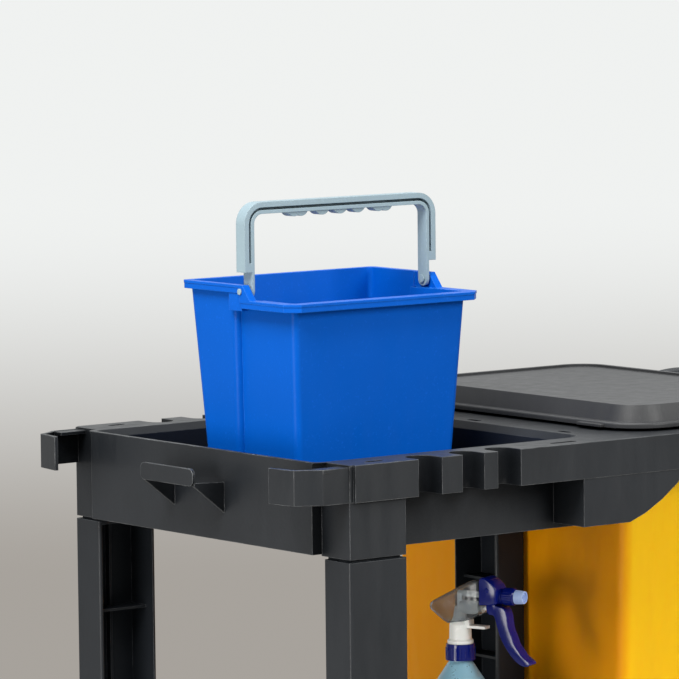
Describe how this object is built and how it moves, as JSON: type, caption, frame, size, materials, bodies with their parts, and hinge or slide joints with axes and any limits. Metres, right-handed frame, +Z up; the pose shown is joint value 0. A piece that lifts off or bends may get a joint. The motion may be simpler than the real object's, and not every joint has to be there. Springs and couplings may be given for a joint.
{
  "type": "housekeeping cart",
  "caption": "Wheeled cleaning cart: notched top tray with mop hooks, shelf, base, lidded waste bag, lift-out bucket with swinging handle, and trigger sprayer.",
  "frame": {"origin": "on the floor, under the middle of the cart's bounding box", "axes": "+Z up; -X is the way the cart is pushed, the push handle is at +X; -Y is the cart's left side"},
  "size_m": [1.1, 0.518, 1.2456],
  "materials": {
    "charcoal_plastic": "moulded, fine spark texture",
    "lid_plastic": "moulded, fine grain on the panel",
    "leg_plastic": "moulded, satin",
    "bag_vinyl": "coated cloth, soft sheen",
    "eyelet_metal": "pressed",
    "zinc_steel": "zinc plated",
    "hub_plastic": "moulded",
    "tyre_rubber": "grey non-marking rubber",
    "bucket_plastic": "semi-gloss",
    "bail_plastic": "satin",
    "bottle_plastic": "semi-clear",
    "liquid": "clear",
    "pump_plastic": "smooth",
    "clear_plastic": "clear",
    "navy_plastic": "glossy"
  },
  "bodies": {
    "cart": {"top_deck": "charcoal_plastic", "middle_shelf": "charcoal_plastic", "base_platform": "charcoal_plastic", "base_rim": "charcoal_plastic", "upper_leg_left": "leg_plastic", "upper_leg_right": "leg_plastic", "lower_leg_left": "leg_plastic", "lower_leg_right": "leg_plastic", "centre_post": "leg_plastic", "push_handle": "charcoal_plastic", "lid_hinge_pins": "zinc_steel", "waste_bag": "bag_vinyl", "bag_pegs": "charcoal_plastic", "bag_eyelets": "eyelet_metal", "rear_axle": "zinc_steel", "axle_caps": "charcoal_plastic", "caster_bolts": "zinc_steel", "caster_plate_left": "zinc_steel", "caster_plate_right": "zinc_steel"},
    "lid": {"bag_lid": "lid_plastic"},
    "left_rear_wheel": {"rear_hub_left": "hub_plastic", "rear_tyre_left": "tyre_rubber"},
    "right_rear_wheel": {"rear_hub_right": "hub_plastic", "rear_tyre_right": "tyre_rubber"},
    "left_caster": {"caster_fork_left": "zinc_steel", "caster_axle_left": "zinc_steel"},
    "right_caster": {"caster_fork_right": "zinc_steel", "caster_axle_right": "zinc_steel"},
    "left_caster_wheel": {"caster_wheel_left": "hub_plastic", "caster_tyre_left": "tyre_rubber"},
    "right_caster_wheel": {"caster_wheel_right": "hub_plastic", "caster_tyre_right": "tyre_rubber"},
    "loose_bucket": {"bucket": "bucket_plastic", "bucket_pivots": "bail_plastic"},
    "bail": {"bucket_handle": "bail_plastic"},
    "sprayer": {"spray_bottle": "bottle_plastic", "cleaning_liquid": "liquid", "dip_tube": "pump_plastic", "spray_collar": "navy_plastic", "spray_neck": "pump_plastic", "spray_shroud": "clear_plastic", "spray_hood": "navy_plastic"},
    "trigger": {"spray_trigger": "navy_plastic"},
    "piston": {"pump_piston": "pump_plastic"},
    "nozzle": {"spray_nozzle": "navy_plastic"}
  },
  "joints": [
    {"name": "lid_hinge", "type": "hinge", "parent": "cart", "child": "lid", "pos_m": [0.427, 0, 0.991], "axis": [0, 1, 0], "range_deg": [0, 100]},
    {"name": "left_rear_roll", "type": "hinge", "parent": "cart", "child": "left_rear_wheel", "pos_m": [0.33, -0.229, 0.1], "axis": [0, 1, 0], "continuous": true},
    {"name": "left_caster_swivel", "type": "hinge", "parent": "cart", "child": "left_caster", "pos_m": [-0.462, -0.172, 0.12], "axis": [0, 0, 1], "continuous": true},
    {"name": "left_caster_roll", "type": "hinge", "parent": "left_caster", "child": "left_caster_wheel", "pos_m": [-0.43, -0.172, 0.05], "axis": [0, 1, 0], "continuous": true},
    {"name": "right_rear_roll", "type": "hinge", "parent": "cart", "child": "right_rear_wheel", "pos_m": [0.33, 0.229, 0.1], "axis": [0, 1, 0], "continuous": true},
    {"name": "right_caster_swivel", "type": "hinge", "parent": "cart", "child": "right_caster", "pos_m": [-0.462, 0.172, 0.12], "axis": [0, 0, 1], "continuous": true},
    {"name": "right_caster_roll", "type": "hinge", "parent": "right_caster", "child": "right_caster_wheel", "pos_m": [-0.43, 0.172, 0.05], "axis": [0, 1, 0], "continuous": true},
    {"name": "bucket_lift", "type": "slide", "parent": "cart", "child": "loose_bucket", "axis": [0, 0, 1], "range_m": [0, 0.35]},
    {"name": "bail_swing", "type": "hinge", "parent": "loose_bucket", "child": "bail", "pos_m": [-0.1405, -0.009, 1.14805], "axis": [1, 0, 0], "range_deg": [-45, 90]},
    {"name": "sprayer_lift", "type": "slide", "parent": "cart", "child": "sprayer", "axis": [0, 0, 1], "range_m": [0, 0.05]},
    {"name": "trigger_pull", "type": "hinge", "parent": "sprayer", "child": "trigger", "pos_m": [-0.01898, -0.12774, 0.80805], "axis": [0.9205, 0.3907, 0], "range_deg": [0, 18], "stiffness_Nm_per_rad": 0.6, "springref_deg": -8.59},
    {"name": "piston_stroke", "type": "slide", "parent": "sprayer", "child": "piston", "axis": [-0.3907, 0.9205, 0], "range_m": [0, 0.0075]},
    {"name": "nozzle_turn", "type": "hinge", "parent": "sprayer", "child": "nozzle", "pos_m": [-0.00765, -0.15443, 0.80105], "axis": [0.3907, -0.9205, 0], "continuous": true}
  ],
  "couplings": [
    {"joint": "piston_stroke", "follows": "trigger_pull", "m_per_rad": 0.022}
  ]
}
